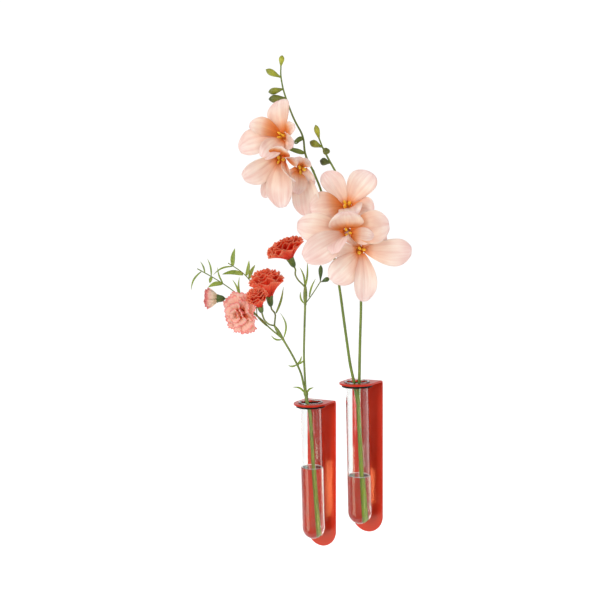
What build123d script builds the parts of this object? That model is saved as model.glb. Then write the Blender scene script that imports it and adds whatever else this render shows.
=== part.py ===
from build123d import *
import math
import os

# Lengths are in millimetres and angles in degrees.
# The origin is on the wall behind the middle of the left bracket.
# +X runs to the right along the wall, +Y runs into the wall and +Z is up.

# Bracket: one strip of sheet with a round foot, bent forward at the top into a round shelf.
# The throat is the distance from the wall to the round part of the shelf.
plate_width = 38.0
plate_height = 167.0
sheet_thickness = 2.0
bend_inner_radius = 1.5
shelf_droop = 2.6
shelf_throat = 6.5
edge_round = 0.4

# Foam pad with adhesive on both faces, between the plate and the wall
pad_width = 24.0
pad_height = 120.0
pad_thickness = 1.0
pad_corner_radius = 4.0

# Glass tube, hanging by its lip in the shelf
tube_diameter = 25.0
glass_wall = 1.3
tube_length = 153.0
lip_overhang = 1.4
lip_height = 0.8
lip_inner_round = 0.3
lip_seat_gap = 0.2

# Rubber ring: a neck that lines the hole in the shelf and a thick rim below the shelf
ring_rim_height = 2.6
ring_rim_width = 3.7
ring_neck_width = 0.6
ring_neck_drop = 1.7
ring_slip_gap = 0.15
ring_round = 0.4

# The two wall units
pair_spacing = 58.0
pair_step = 26.5

# Both sprays are turned to face the room, lean on the lip and stand on the round bottom of the glass
spray_turn = 32.0
lean_gap = 0.25
foot_gap = 0.3
arc_share = 0.45
largest_bend = 60.0

# Stem radii
carnation_stem_radius = 2.0
carnation_branch_radius = 1.2
carnation_stalk_radius = 0.9
twig_radius = 0.6
node_swelling = 1.35
freesia_foot_radius = 2.4
freesia_stem_radius = 1.65
freesia_spike_radius = 1.0
flower_stalk_radius = 0.8
stalk_lead = 3.5

# Leaves and petals
leaf_thickness = 0.5
leaf_root_gap = 0.4
leaf_root_slant = 1.5
leaf_arch = 0.08
leaf_fold = 0.05
petal_thickness = 0.5
petal_base_width = 2.6
seat_gap = 0.15
bud_root_slant = 1.8

# Carnation heads: stacked ruffled layers on a calyx
calyx_radius = 4.2
calyx_length = 11.0
ruffle_waves = 9
points_per_wave = 4
ruffle_shift = 2.0

# Freesia blossoms: six petals on the rim of a funnel, with stamens inside
funnel_length = 18.0
funnel_rim_radius = 4.0
funnel_wall = 0.5
funnel_floor = 3.0
freesia_calyx_length = 4.0
freesia_calyx_radius = 1.9
petals_per_blossom = 6
stamens_per_blossom = 3
stamen_radius = 0.35
stamen_reach = 5.0
stamen_foot_offset = 0.75
stamen_splay = 5.0
anther_radius = 0.9
anther_length = 3.5

# Values that follow from the sizes above
tube_radius = tube_diameter / 2
tube_standoff = shelf_throat + plate_width / 2
bore_radius = tube_radius - glass_wall
hole_radius = tube_radius + ring_slip_gap + ring_neck_width
droop = math.radians(shelf_droop)
plate_front = -pad_thickness - sheet_thickness
bend_outer_radius = bend_inner_radius + sheet_thickness
bend_centre = Vector(0, plate_front - bend_inner_radius, plate_height / 2 - bend_outer_radius)
tube_axis = Vector(0, -math.sin(droop), math.cos(droop))
shelf_run = Vector(0, -math.cos(droop), -math.sin(droop))
bend_end = bend_centre + tube_axis * bend_outer_radius
shelf_reach = (bend_end.Y + tube_standoff) / math.cos(droop)
seat = Plane(origin=bend_end + shelf_run * shelf_reach, x_dir=(1, 0, 0), z_dir=tube_axis)
left_unit = Location((0, 0, 0))
right_unit = Location((pair_spacing, 0, pair_step))
spray_seat = seat.location * Location((0, 0, 0), (0, 0, spray_turn))


def bracket():
    """Plate, bend and shelf, as one bent sheet."""
    foot_centre = (plate_width - plate_height) / 2
    straight = bend_centre.Z - foot_centre
    outline = Pos(0, foot_centre + straight / 2) * Rectangle(plate_width, straight)
    outline += Pos(0, foot_centre) * Circle(plate_width / 2)
    back = Plane(origin=(0, -pad_thickness, 0), x_dir=(1, 0, 0), z_dir=(0, -1, 0))
    plate = extrude(back * outline, sheet_thickness)

    strip_place = Pos(0, plate_front + sheet_thickness / 2, bend_centre.Z)
    strip = strip_place * Rectangle(plate_width, sheet_thickness)
    bend = revolve(strip, Axis(bend_centre, (1, 0, 0)), 90 + shelf_droop)

    shelf_outline = Pos(0, shelf_reach / 2) * Rectangle(plate_width, shelf_reach)
    shelf_outline += Circle(plate_width / 2)
    shelf_outline -= Circle(hole_radius)
    shelf = extrude(seat * shelf_outline, -sheet_thickness)
    sheet = plate + bend + shelf
    return fillet(sheet.edges(), edge_round)


def adhesive_pad():
    """Foam pad, face to face with the back of the plate."""
    wall = Plane(origin=(0, 0, 0), x_dir=(1, 0, 0), z_dir=(0, -1, 0))
    return extrude(wall * RectangleRounded(pad_width, pad_height, pad_corner_radius), pad_thickness)


def rubber_ring():
    """Ring round the glass, with its neck in the hole and its rim under the shelf."""
    inner = tube_radius + ring_slip_gap
    outer = inner + ring_rim_width
    rim_bottom = -sheet_thickness - ring_rim_height
    outline = Polyline(
        (inner, -ring_neck_drop),
        (hole_radius, -ring_neck_drop),
        (hole_radius, -sheet_thickness),
        (outer, -sheet_thickness),
        (outer, rim_bottom),
        (inner, rim_bottom),
        close=True,
    )
    section = make_face(outline)
    rim_corners = section.vertices().group_by(Axis.X)[-1]
    section = fillet(rim_corners, ring_round)
    return seat.location * revolve(Plane.XZ * section, Axis.Z)


def glass_tube():
    """Round-bottomed tube with a rolled lip that rests on the shelf."""
    lip_top = lip_seat_gap + lip_height
    lip_centre = tube_radius + lip_overhang - lip_height / 2
    bowl = -tube_length + tube_radius
    rise = math.sqrt(0.5)
    outer_middle = (tube_radius * rise, bowl - tube_radius * rise)
    inner_middle = (bore_radius * rise, bowl - bore_radius * rise)
    outline = [
        ThreePointArc((0, -tube_length), outer_middle, (tube_radius, bowl)),
        Line((tube_radius, bowl), (tube_radius, lip_seat_gap)),
        Line((tube_radius, lip_seat_gap), (lip_centre, lip_seat_gap)),
        ThreePointArc(
            (lip_centre, lip_seat_gap),
            (lip_centre + lip_height / 2, lip_seat_gap + lip_height / 2),
            (lip_centre, lip_top),
        ),
        Line((lip_centre, lip_top), (bore_radius + lip_inner_round, lip_top)),
        ThreePointArc(
            (bore_radius + lip_inner_round, lip_top),
            (bore_radius + lip_inner_round * (1 - rise), lip_top - lip_inner_round * (1 - rise)),
            (bore_radius, lip_top - lip_inner_round),
        ),
        Line((bore_radius, lip_top - lip_inner_round), (bore_radius, bowl)),
        ThreePointArc((bore_radius, bowl), inner_middle, (0, bowl - bore_radius)),
        Line((0, bowl - bore_radius), (0, -tube_length)),
    ]
    return seat.location * revolve(Plane.XZ * make_face(outline), Axis.Z)


# Sprays: points are (across, away, up), seen by a viewer whom the spray faces, from the mouth of the tube


def aimed(point, direction):
    """Place whose z axis starts at the point and runs in the direction."""
    return Plane(origin=point, z_dir=direction).location


def leaning_point(angle, radius, height):
    """Point in the bore where a stem of this radius leans on the glass."""
    reach = bore_radius - radius - lean_gap
    return Vector(reach * math.cos(math.radians(angle)), reach * math.sin(math.radians(angle)), height)


def standing_point(across, away, radius):
    """Point where a stem of this radius stands on the round bottom of the glass."""
    edge = math.hypot(across, away) + radius
    bottom = tube_radius - tube_length - math.sqrt(bore_radius**2 - edge**2)
    return Vector(across, away, bottom + foot_gap)


def corner_radii(points):
    """Radius at each corner of a route, as large as its two runs allow, up to the largest bend."""
    radii = []
    for before, here, after in zip(points, points[1:], points[2:]):
        arriving = Vector(here) - Vector(before)
        leaving = Vector(after) - Vector(here)
        half_turn = math.radians(arriving.get_angle(leaving)) / 2
        room = arc_share * min(arriving.length, leaving.length) / math.tan(half_turn)
        radii.append(min(room, largest_bend))
    return radii


def shoot(points, radius):
    """Round stem along a route of straight runs and tangent arcs."""
    if len(points) == 2:
        path = Line(*points)
    else:
        path = FilletPolyline(*points, radius=corner_radii(points))
    start = Plane(origin=path @ 0, z_dir=path % 0)
    return sweep(start * Circle(radius), path=path)


def stem_node(point, radius):
    """Swelling where a stem branches."""
    return Pos(*point) * Sphere(radius * node_swelling)


def turned(outline):
    """Solid turned round the z axis from a closed outline of (radius, height) curves."""
    return revolve(Plane.XZ * make_face(outline), Axis.Z)


def bud(point, tip, radius, stalk):
    """Closed bud, widest past its middle, that ends in a blunt point."""
    reach = Vector(tip) - Vector(point)
    length = reach.length
    side = Bezier((stalk, 0), (stalk * 1.2, length * 0.3), (radius * 2.1, length * 0.75), (0, length))
    inside = Polyline((0, length), (0, 0), (stalk, 0))
    return aimed(point, reach) * turned([side, inside])


def calyx(mouth, direction, mouth_radius, length, stalk):
    """Green cup that holds a carnation's petals, with its mouth at the given point."""
    foot = Vector(mouth) - Vector(direction).normalized() * length
    belly = (mouth_radius, length * 0.2)
    waist = (mouth_radius * 0.8, length * 0.7)
    side = Bezier((stalk, 0), belly, waist, (mouth_radius, length))
    inside = Polyline((mouth_radius, length), (0, length), (0, 0), (stalk, 0))
    return aimed(foot, direction) * turned([side, inside])


def leaf(root, tip, width, clear):
    """Narrow leaf that starts just outside its stem and arches to its tip."""
    ahead = (Vector(tip) - Vector(root)).normalized()
    base = Vector(root) + ahead * (clear + leaf_root_gap)
    span = Vector(tip) - base
    side = span.cross(Vector(0, -1, 0)).normalized()
    outward = side.cross(span).normalized() * span.length
    # Each rib: share of the length, share of the width, and whether the leaf is arched there
    ribs = ((0, 0.12, 0), (0.35, 0.85, 1), (0.75, 0.6, 1), (1, 0.08, 0))
    rows = []
    for share, half, arched in ribs:
        middle = base + span * share + outward * (leaf_arch * arched)
        edge = side * (half * width)
        rows.append([middle - edge, middle + outward * (leaf_fold * half), middle + edge])
    return Solid.thicken(Face.make_bezier_surface(rows), leaf_thickness)


def petal(base, tip, faces, width):
    """Broad petal that rises from its narrow base, spreads like a spoon and ends round."""
    span = Vector(tip) - base
    side = span.cross(Vector(faces)).normalized()
    up = side.cross(span).normalized()
    half_base = petal_base_width / 2
    # Each rib: share of the length, half width, rise, how far the edges cup up, and how far they pull back
    ribs = (
        (0.0, half_base, 0.0, 0.0, 0.0),
        (0.22, 0.17 * width, 0.10, 0.03, 0.0),
        (0.60, 0.68 * width, 0.15, 0.10, 0.0),
        (0.98, 0.64 * width, 0.06, 0.10, 0.04),
        (1.06, 0.20 * width, -0.03, 0.03, 0.10),
    )
    rows = []
    for share, half, rise, cup, pull in ribs:
        row = []
        for across in (-1.0, -0.4, 0.4, 1.0):
            bent = across * across
            point = base + span * (share - pull * bent) + side * (half * across)
            row.append(point + up * (rise * span.length + cup * width * bent))
        rows.append(row)
    return Solid.thicken(Face.make_bezier_surface(rows), petal_thickness, up)


def ruffle(radius, depth, phase, height):
    """Wavy outline of a petal layer at one height."""
    count = ruffle_waves * points_per_wave
    points = []
    for step in range(count):
        angle = 2 * math.pi * step / count
        reach = radius * (1 + depth * math.sin(ruffle_waves * angle + phase))
        points.append((reach * math.cos(angle), reach * math.sin(angle), height))
    return make_face(Polyline(*points, close=True))


def carnation_petals(mouth, direction, radius, height, mouth_radius):
    """Flared skirt of petals with two smaller ruffled layers on top."""
    # Each outline of a layer: share of the radius, depth of its waves, and share of the height
    layers = (
        ((mouth_radius / radius, 0.0, 0.0), (0.78, 0.05, 0.42), (1.0, 0.07, 0.62)),
        ((0.86, 0.08, 0.62), (0.84, 0.10, 0.82)),
        ((0.62, 0.10, 0.82), (0.48, 0.12, 1.0)),
    )
    solids = []
    for turn, layer in enumerate(layers):
        shift = turn * ruffle_shift
        outlines = [ruffle(radius * share, depth, shift, height * level) for share, depth, level in layer]
        solids.append(aimed(mouth, direction) * loft(outlines, ruled=True))
    return solids


# Carnation spray
fork = Vector(-5.0, -5.5, 11.0)
high_node = Vector(-3.4, 1.5, 110.0)
high_tip = Vector(-2.8, 2.0, 128.0)
side_node = Vector(-13.6, -4.0, 43.0)
low_node = Vector(-29.0, -4.0, 72.0)
elbow = Vector(-38.0, -3.0, 87.0)
twig_node = Vector(-57.0, -3.0, 98.5)
green_bud_node = Vector(14.0, 5.0, 134.0)
carnation_lean = 245.0
carnation_bend = Vector(-0.8, -7.6, -9.0)
carnation_foot = (4.2, 1.0)

# Each head: mouth of the calyx, direction, petal radius, petal height, calyx mouth radius and length
carnation_heads = {
    "coral_carnation": ((-43, 1, 119), (-0.14, -0.1, 0.98), 20.5, 30.0, calyx_radius, calyx_length),
    "small_coral_carnation": ((-52, -27, 110), (-0.2, -0.45, 0.87), 12.5, 21.0, 3.4, 8.0),
    "high_carnation": ((-19, 4, 161), (-0.36, -0.15, 0.92), 22.0, 22.0, calyx_radius, calyx_length),
    "pink_carnation": ((-72, -12.8, 103), (-0.617, -0.772, -0.154), 21.0, 15.0, calyx_radius, calyx_length),
    "pink_bud": ((-101, 0, 118.5), (-1.0, 0.0, 0.05), 11.0, 13.0, 4.6, 8.5),
}

# Way of each head's stalk, from the branch to the start of its calyx
carnation_stalks = {
    "coral_carnation": (elbow, (-36.5, 0.5, 100)),
    "small_coral_carnation": (elbow, (-44, -11, 89), (-48.5, -18, 95)),
    "high_carnation": (high_tip, (-5.5, 2.4, 131.5), (-11, 3.5, 137), (-14, 5.5, 143)),
    "pink_carnation": (twig_node,),
    "pink_bud": (twig_node, (-74, 4, 109), (-84, 4.5, 115.5)),
}

twigs = (
    (twig_node, (-68, 4, 112), (-77, 4.5, 121.5), (-93, 4, 134), (-107, 4, 143), (-122.5, 4, 152)),
    (
        twig_node,
        (-58, 7, 111),
        (-60, 14, 127),
        (-65, 14, 138),
        (-72.5, 14, 146),
        (-80.5, 14, 152),
        (-89, 14, 157.5),
    ),
    (high_node, (5.6, 3.3, 121.5), green_bud_node),
)

# Each leaf: root, tip and width, grouped by the radius of the stem round the root
carnation_leaf_groups = (
    (
        twig_radius * leaf_root_slant,
        (
            ((-118, 4, 149.2), (-130, 3, 128), 1.5),
            ((-114, 4, 147), (-119, 4, 160), 1.3),
            ((-107, 4, 143), (-111, 4, 163), 1.4),
            ((-107, 4, 143), (-109, 3, 135.5), 3.0),
            ((-94.5, 4, 135), (-111, 2, 131), 4.0),
            ((-94.5, 4, 135), (-100, 4, 153), 1.4),
            ((-77, 4.5, 121.5), (-84, 5, 139), 1.5),
            ((-75.5, 4.5, 120), (-76, 6, 142), 1.5),
            ((-84, 14, 154), (-81, 15, 174), 4.0),
            ((-84, 14, 154), (-106, 12, 144.5), 1.5),
            ((-71.8, 13.5, 144.6), (-96, 12, 145), 4.2),
            ((-69, 14, 142.4), (-65.5, 15, 160), 3.2),
            ((-66, 14, 139), (-58.5, 15, 155), 3.2),
        ),
    ),
    (
        carnation_branch_radius * node_swelling,
        (
            (side_node, (-24, -6, 43), 1.6),
            (side_node, (-9, -3, 53), 1.6),
            (side_node, (-6, -5, 49), 1.5),
            (high_tip, (0, 4.5, 157), 1.6),
        ),
    ),
    (
        carnation_stem_radius * node_swelling,
        (
            (fork, (-20, -8, 19), 1.7),
            (fork, (4, -7, 18), 1.7),
        ),
    ),
    (
        0.0,
        (
            ((-36.0, 0.4, 100.6), (-27, -2, 130), 1.9),
            ((-28.0, -5.2, 73.6), (-31, -6, 101), 1.5),
            ((-30.6, -5.3, 71.4), (-42, -8, 77), 1.5),
            ((-5.0, 1.1, 110.8), (-8, 1.5, 124), 1.5),
            ((-3.3, 3.2, 129.4), (-8.5, 4, 151), 1.6),
            ((1.3, 1.9, 117.6), (9, 1.5, 138), 1.5),
        ),
    ),
)

green_buds = (
    ((14.15, 5.0, 135.1), (15, 6, 153), 2.2),
    ((15.2, 5.0, 134.0), (24.5, 5, 138), 2.4),
)


def carnation_stem():
    """Main stem, its two branches, the stalks of the heads and the twigs."""
    foot = standing_point(*carnation_foot, carnation_stem_radius)
    lip = leaning_point(carnation_lean, carnation_stem_radius, 0)
    left = (fork, (-7.4, -5.2, 21), (-9.4, -4.7, 32.5), side_node, (-20, -3.9, 56), low_node)
    upright = (fork, (-5.8, -4.2, 32), (-6.3, -2.2, 54), (-5, 0, 80), high_node, high_tip)
    shoots = [
        shoot((foot, carnation_bend, lip, fork), carnation_stem_radius),
        shoot(left, carnation_branch_radius),
        shoot(upright, carnation_branch_radius),
        shoot((low_node, elbow), carnation_stalk_radius),
        shoot((low_node, (-45, -3.5, 86), twig_node), carnation_stalk_radius),
    ]
    for name, (mouth, direction, _, _, _, length) in carnation_heads.items():
        ahead = Vector(direction).normalized()
        end = Vector(mouth) - ahead * (length + seat_gap)
        way = (*carnation_stalks[name], end - ahead * stalk_lead, end)
        shoots.append(shoot(way, carnation_stalk_radius))
    shoots += [shoot(way, twig_radius) for way in twigs]
    shoots.append(stem_node(fork, carnation_stem_radius))
    branch_nodes = (high_node, high_tip, side_node, low_node)
    shoots += [stem_node(point, carnation_branch_radius) for point in branch_nodes]
    shoots += [stem_node(point, carnation_stalk_radius) for point in (elbow, twig_node)]
    shoots.append(stem_node(green_bud_node, twig_radius))
    return shoots[0].fuse(*shoots[1:])


def carnation_leaves():
    """All the narrow leaves of the carnation spray."""
    leaves = []
    for clear, group in carnation_leaf_groups:
        leaves += [leaf(root, tip, width, clear) for root, tip, width in group]
    return leaves


# Freesia spray
freesia_merge = Vector(0.4, -7.0, -26.0)
freesia_foot = (4.2, 1.5)
tall_lean = 246.0
short_lean = 281.0
tall_stem_top = Vector(-42, -25, 222)
short_stem_top = Vector(-16, -16, 217)
tall_stem = (
    (-7.4, -9.3, 19),
    (-12, -11, 57),
    (-17.6, -13, 107),
    (-25.8, -17, 155),
    (-33.5, -22, 201),
    tall_stem_top,
)
short_stem = ((3.2, -9.6, 42), (5.7, -9.2, 88), (4.8, -9, 130), (-2, -11, 172), short_stem_top)
tall_spike = (
    tall_stem_top,
    (-50.5, -22, 240),
    (-51, -23, 258),
    (-60, -24, 274),
    (-66, -24.5, 290),
    (-71, -25.3, 306),
    (-73, -25, 320),
    (-72.5, -25.4, 329),
)
short_spike = (short_stem_top, (-27, -19, 237), (-32, -20.3, 247), (-35, -20.5, 255.5))

# Each blossom: joint on the stem, throat, direction, turn of the first petal, and each petal's tip and width
blossoms = {
    "lower_top_blossom": (
        (-1.8, -11, 171),
        (-9, -35, 185),
        (-0.15, -0.85, 0.5),
        -5,
        (
            ((17, -49, 178), 15),
            ((14, -32, 218), 25),
            ((-31, -30, 219), 20),
            ((-43, -47, 185), 20),
            ((-30, -40, 169), 14),
            ((-5, -64, 174), 18),
        ),
    ),
    "lower_front_blossom": (
        (1.5, -10, 151),
        (-10, -46, 158),
        (-0.1, -0.98, -0.1),
        30,
        (
            ((29, -56, 165), 26),
            ((-12, -62, 166), 12),
            ((-58, -54, 165), 24),
            ((-52, -60, 132), 24),
            ((-22, -71, 137), 14),
            ((15, -60, 143), 16),
        ),
    ),
    "lower_right_blossom": (
        (4.5, -9.1, 134),
        (3, -41, 140),
        (0.2, -0.95, -0.2),
        0,
        (
            ((53, -40, 137), 25),
            ((29, -34, 156), 16),
            ((8, -37, 160), 12),
            ((-21, -39, 138), 14),
            ((-26, -46, 112), 26),
            ((6, -41, 90), 21),
        ),
    ),
    "upper_left_blossom": (
        (-51, -23, 257),
        (-72, -43, 255),
        (-0.5, -0.8, 0.15),
        30,
        (
            ((-58, -56, 266), 12),
            ((-75, -35, 293), 22),
            ((-105, -50, 268), 18),
            ((-114, -49, 243), 25),
            ((-94, -62, 236), 16),
            ((-60, -62, 250), 14),
        ),
    ),
    "upper_front_blossom": (
        (-50.5, -22, 241),
        (-74, -52, 232),
        (-0.2, -0.75, -0.6),
        55,
        (
            ((-54, -62, 232), 14),
            ((-75, -62, 237), 8),
            ((-109, -57, 212), 22),
            ((-92, -42, 196), 12),
            ((-75, -58, 184), 25),
            ((-68, -78, 208), 14),
        ),
    ),
    "upper_right_blossom": (
        (-46.5, -23.4, 232),
        (-55, -40, 223),
        (0.1, -0.8, -0.55),
        50,
        (
            ((-42, -41, 231), 10),
            ((-59, -47, 234), 10),
            ((-70, -38, 214), 9),
            ((-62, -52, 196), 16),
            ((-51, -37, 178), 18),
            ((-41, -44, 212), 11),
        ),
    ),
}

# Buds of the spikes: place on the stem, tip and radius, with the bud at the end of the spike first
tall_spike_buds = (
    ((-72.5, -25.4, 329), (-71, -25.5, 340), 2.4),
    ((-73, -25, 318), (-88, -26, 326), 2.9),
    ((-70.5, -25.3, 306.1), (-86, -26, 303), 3.0),
    ((-67.5, -24.8, 297), (-86, -26, 296), 3.6),
)
short_spike_buds = (
    ((-35, -20.5, 255.5), (-38.5, -21, 270), 2.5),
    ((-32.5, -20.3, 247.2), (-45, -21, 253), 3.4),
    ((-29, -19.6, 241), (-28, -26, 243), 3.4),
    ((-24, -18.3, 231), (-35, -19, 233.5), 3.6),
)


def funnel_base(throat, direction, length):
    """Point behind a throat, on the blossom's axis."""
    return Vector(throat) - Vector(direction).normalized() * length


def freesia_stem():
    """One foot that forks into two stems, with their spikes and flower stalks."""
    foot = standing_point(*freesia_foot, freesia_foot_radius)
    tall_lip = leaning_point(tall_lean, freesia_stem_radius, 2)
    short_lip = leaning_point(short_lean, freesia_stem_radius, 2)
    shoots = [
        shoot((foot, freesia_merge), freesia_foot_radius),
        shoot((freesia_merge, tall_lip, *tall_stem), freesia_stem_radius),
        shoot((freesia_merge, short_lip, *short_stem), freesia_stem_radius),
        shoot(tall_spike, freesia_spike_radius),
        shoot(short_spike, freesia_spike_radius),
        stem_node(freesia_merge, freesia_foot_radius),
        stem_node(tall_stem_top, freesia_stem_radius / node_swelling),
        stem_node(short_stem_top, freesia_stem_radius / node_swelling),
    ]
    for joint, throat, direction, _, _ in blossoms.values():
        end = funnel_base(throat, direction, funnel_length + freesia_calyx_length + 2 * seat_gap)
        lead = funnel_base(end, direction, stalk_lead)
        shoots.append(shoot((joint, lead, end), flower_stalk_radius))
    return shoots[0].fuse(*shoots[1:])


def blossom_petals(throat, direction, first_turn, tips):
    """Six separate petals, spaced evenly round the rim of the funnel."""
    rim = Plane(origin=throat, x_dir=Vector(1, 0, 0) - axis_share(direction), z_dir=direction)
    seat_radius = funnel_rim_radius - funnel_wall / 2
    petals = []
    for number, (tip, width) in enumerate(tips):
        turn = math.radians(first_turn + number * 360 / petals_per_blossom)
        foot = Vector(seat_radius * math.cos(turn), seat_radius * math.sin(turn), seat_gap)
        petals.append(petal(rim.from_local_coords(foot), tip, direction, width))
    return petals


def axis_share(direction):
    """Part of the across direction that runs along the blossom's axis."""
    axis = Vector(direction).normalized()
    return axis * axis.X


def blossom_funnel(throat, direction):
    """Thin funnel, open at the rim, on its calyx."""
    depth = funnel_length
    outline = Polyline(
        (0, seat_gap - depth),
        (freesia_calyx_radius, seat_gap - depth),
        (funnel_rim_radius, -seat_gap),
        (funnel_rim_radius - funnel_wall, -seat_gap),
        (freesia_calyx_radius - funnel_wall, funnel_floor - depth),
        (0, funnel_floor - depth),
        close=True,
    )
    return aimed(throat, direction) * turned(outline)


def freesia_calyx(throat, direction):
    """Small green cone under a funnel."""
    top = -funnel_length
    bottom = top - freesia_calyx_length
    outline = Polyline(
        (0, bottom),
        (flower_stalk_radius, bottom),
        (freesia_calyx_radius, top),
        (0, top),
        close=True,
    )
    return aimed(throat, direction) * turned(outline)


def blossom_stamens(throat, direction):
    """Stamens that stand on the floor of the funnel and reach past its rim."""
    length = funnel_length - funnel_floor - seat_gap + stamen_reach
    shoulder = length - anther_length
    outline = Polyline(
        (0, 0),
        (stamen_radius, 0),
        (stamen_radius, shoulder),
        (anther_radius, shoulder + anther_length * 0.3),
        (anther_radius * 0.8, length - anther_length * 0.2),
        (0, length),
        close=True,
    )
    stamen = turned(outline)
    stamens = []
    for number in range(stamens_per_blossom):
        spread = Rot(0, 0, number * 360 / stamens_per_blossom)
        stand = Pos(stamen_foot_offset, 0, funnel_floor + seat_gap - funnel_length)
        stamens.append(aimed(throat, direction) * spread * stand * Rot(0, stamen_splay, 0) * stamen)
    return stamens


def spike_bud(place, tip, radius, clear):
    """Bud that starts this far from the middle of the spike's stem."""
    ahead = (Vector(tip) - Vector(place)).normalized()
    return bud(Vector(place) + ahead * (clear + seat_gap), tip, radius, flower_stalk_radius)


def spike_buds(end_bud, *side_buds):
    """Bud on the end of a spike and the buds at its sides."""
    buds = [spike_bud(*end_bud, 0)]
    buds += [spike_bud(*place, freesia_spike_radius * bud_root_slant) for place in side_buds]
    return buds


def carnation_pieces():
    """Every node of the carnation spray, in the spray's own frame."""
    pieces = {"carnation_stem": [carnation_stem()], "carnation_leaves": carnation_leaves()}
    for name, (mouth, direction, radius, height, mouth_radius, length) in carnation_heads.items():
        lifted = Vector(mouth) + Vector(direction).normalized() * seat_gap
        pieces[f"{name}_petals"] = carnation_petals(lifted, direction, radius, height, mouth_radius)
        pieces[f"{name}_calyx"] = [calyx(mouth, direction, mouth_radius, length, carnation_stalk_radius)]
    pieces["green_buds"] = [bud(point, tip, radius, twig_radius) for point, tip, radius in green_buds]
    return pieces


def freesia_pieces():
    """Every node of the freesia spray, in the spray's own frame."""
    pieces = {"freesia_stem": [freesia_stem()], "freesia_calyxes": [], "freesia_stamens": []}
    for name, (_, throat, direction, first_turn, tips) in blossoms.items():
        pieces[f"{name}_petals"] = blossom_petals(throat, direction, first_turn, tips)
        pieces[f"{name}_funnel"] = [blossom_funnel(throat, direction)]
        pieces["freesia_calyxes"].append(freesia_calyx(throat, direction))
        pieces["freesia_stamens"] += blossom_stamens(throat, direction)
    pieces["tall_spike_buds"] = spike_buds(*tall_spike_buds)
    pieces["short_spike_buds"] = spike_buds(*short_spike_buds)
    return pieces


def write_node(name, solids):
    """One file for each named sub-part."""
    export_step(Compound([solid for shape in solids for solid in shape.solids()]), f"parts/{name}.step")


os.makedirs("parts", exist_ok=True)
wall_unit = {
    "bracket": bracket(),
    "adhesive_pad": adhesive_pad(),
    "rubber_ring": rubber_ring(),
    "glass_tube": glass_tube(),
}
for side, place in (("left", left_unit), ("right", right_unit)):
    for name, shape in wall_unit.items():
        write_node(f"{side}_{name}", [place * shape])
for unit, pieces in ((left_unit, carnation_pieces()), (right_unit, freesia_pieces())):
    for name, solids in pieces.items():
        write_node(name, [unit * spray_seat * solid for solid in solids])
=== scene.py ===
import random
from math import cos, exp, pi, radians, sin

import bmesh
import bpy
from mathutils import Matrix, Quaternion, Vector, noise


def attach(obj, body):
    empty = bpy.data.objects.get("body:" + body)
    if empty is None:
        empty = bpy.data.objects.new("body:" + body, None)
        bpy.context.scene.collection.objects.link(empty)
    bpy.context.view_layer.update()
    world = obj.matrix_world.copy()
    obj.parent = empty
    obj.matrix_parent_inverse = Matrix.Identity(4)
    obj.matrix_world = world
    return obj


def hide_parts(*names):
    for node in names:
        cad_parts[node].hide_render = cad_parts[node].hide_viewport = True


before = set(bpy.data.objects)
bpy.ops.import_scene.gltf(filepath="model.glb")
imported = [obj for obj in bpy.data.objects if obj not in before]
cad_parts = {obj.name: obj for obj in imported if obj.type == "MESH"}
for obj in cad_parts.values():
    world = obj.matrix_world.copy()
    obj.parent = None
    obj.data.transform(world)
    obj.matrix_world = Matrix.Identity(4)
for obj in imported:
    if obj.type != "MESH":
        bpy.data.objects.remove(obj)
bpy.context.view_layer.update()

# Shapes are written in millimetres, and each piece is placed in the frame, which is in metres.
MM = 0.001

# Tubes, as in the frame
TUBE_RADIUS = 12.5
GLASS_WALL = 1.3
BORE_RADIUS = TUBE_RADIUS - GLASS_WALL
TUBE_LENGTH = 153.0
BOWL_CENTRE = TUBE_RADIUS - TUBE_LENGTH
LIP_OVERHANG = 1.4
LIP_HEIGHT = 0.8
LIP_SEAT_GAP = 0.2
LIP_INNER_ROUND = 0.3
SHELF_DROOP = 2.6
LEFT_SEAT = Vector((0.0, -25.5, 82.55))
RIGHT_SEAT = LEFT_SEAT + Vector((58.0, 0.0, 26.5))

# Water: height of its surface in the frame, rise at the glass, width of the edge painted white as a
# highlight, and overlap with the glass
LEFT_WATER = 9.8
RIGHT_WATER = 8.2
MENISCUS_RISE = 0.9
MENISCUS_WIDTH = 1.6
PAINTED_HIGHLIGHT_WIDTH = 0.6
WATER_SKIN = 0.03

# Sprays: points are (across, away, up) from the mouth of the tube, seen by a viewer whom the spray faces
SPRAY_TURN = 32.0

# Heights in the frame, in metres, between which the stems turn to the brighter green of their feet
FOOT_TOP = 0.09
FOOT_BOTTOM = 0.0


def seat_frame(seat):
    """Frame at the mouth of a tube, with z up the tube's axis, from millimetres to the frame's metres."""
    tilt = Matrix.Rotation(radians(SHELF_DROOP), 4, "X")
    return Matrix.Translation(seat * MM) @ tilt @ Matrix.Scale(MM, 4)


LEFT_TUBE = seat_frame(LEFT_SEAT)
RIGHT_TUBE = seat_frame(RIGHT_SEAT)

# Frame of each spray, and the body that it rides on
TURN = Matrix.Rotation(radians(SPRAY_TURN), 4, "Z")
CARNATION = (LEFT_TUBE @ TURN, "carnation_spray")
FREESIA = (RIGHT_TUBE @ TURN, "freesia_spray")


# Materials

WHITE = (1.0, 1.0, 1.0, 1.0)
STREAK_SHIFT = 17.0
WATER_IOR = 1.333


def rgb(red, green, blue):
    """Shader colour of the 0 to 255 values that a screen shows, by the sRGB formula."""
    linear = []
    for value in (red / 255, green / 255, blue / 255):
        linear.append(value / 12.92 if value <= 0.04045 else ((value + 0.055) / 1.055) ** 2.4)
    return (*linear, 1.0)


def add_node(tree, kind, inputs, output=0, **settings):
    """Output of a new shader node, whose inputs each take a value or the output of another node."""
    made = tree.nodes.new("ShaderNode" + kind)
    for name, value in settings.items():
        setattr(made, name, value)
    for socket, value in inputs.items():
        if isinstance(value, bpy.types.NodeSocket):
            tree.links.new(value, made.inputs[socket])
        else:
            made.inputs[socket].default_value = value
    return made.outputs[output]


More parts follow.
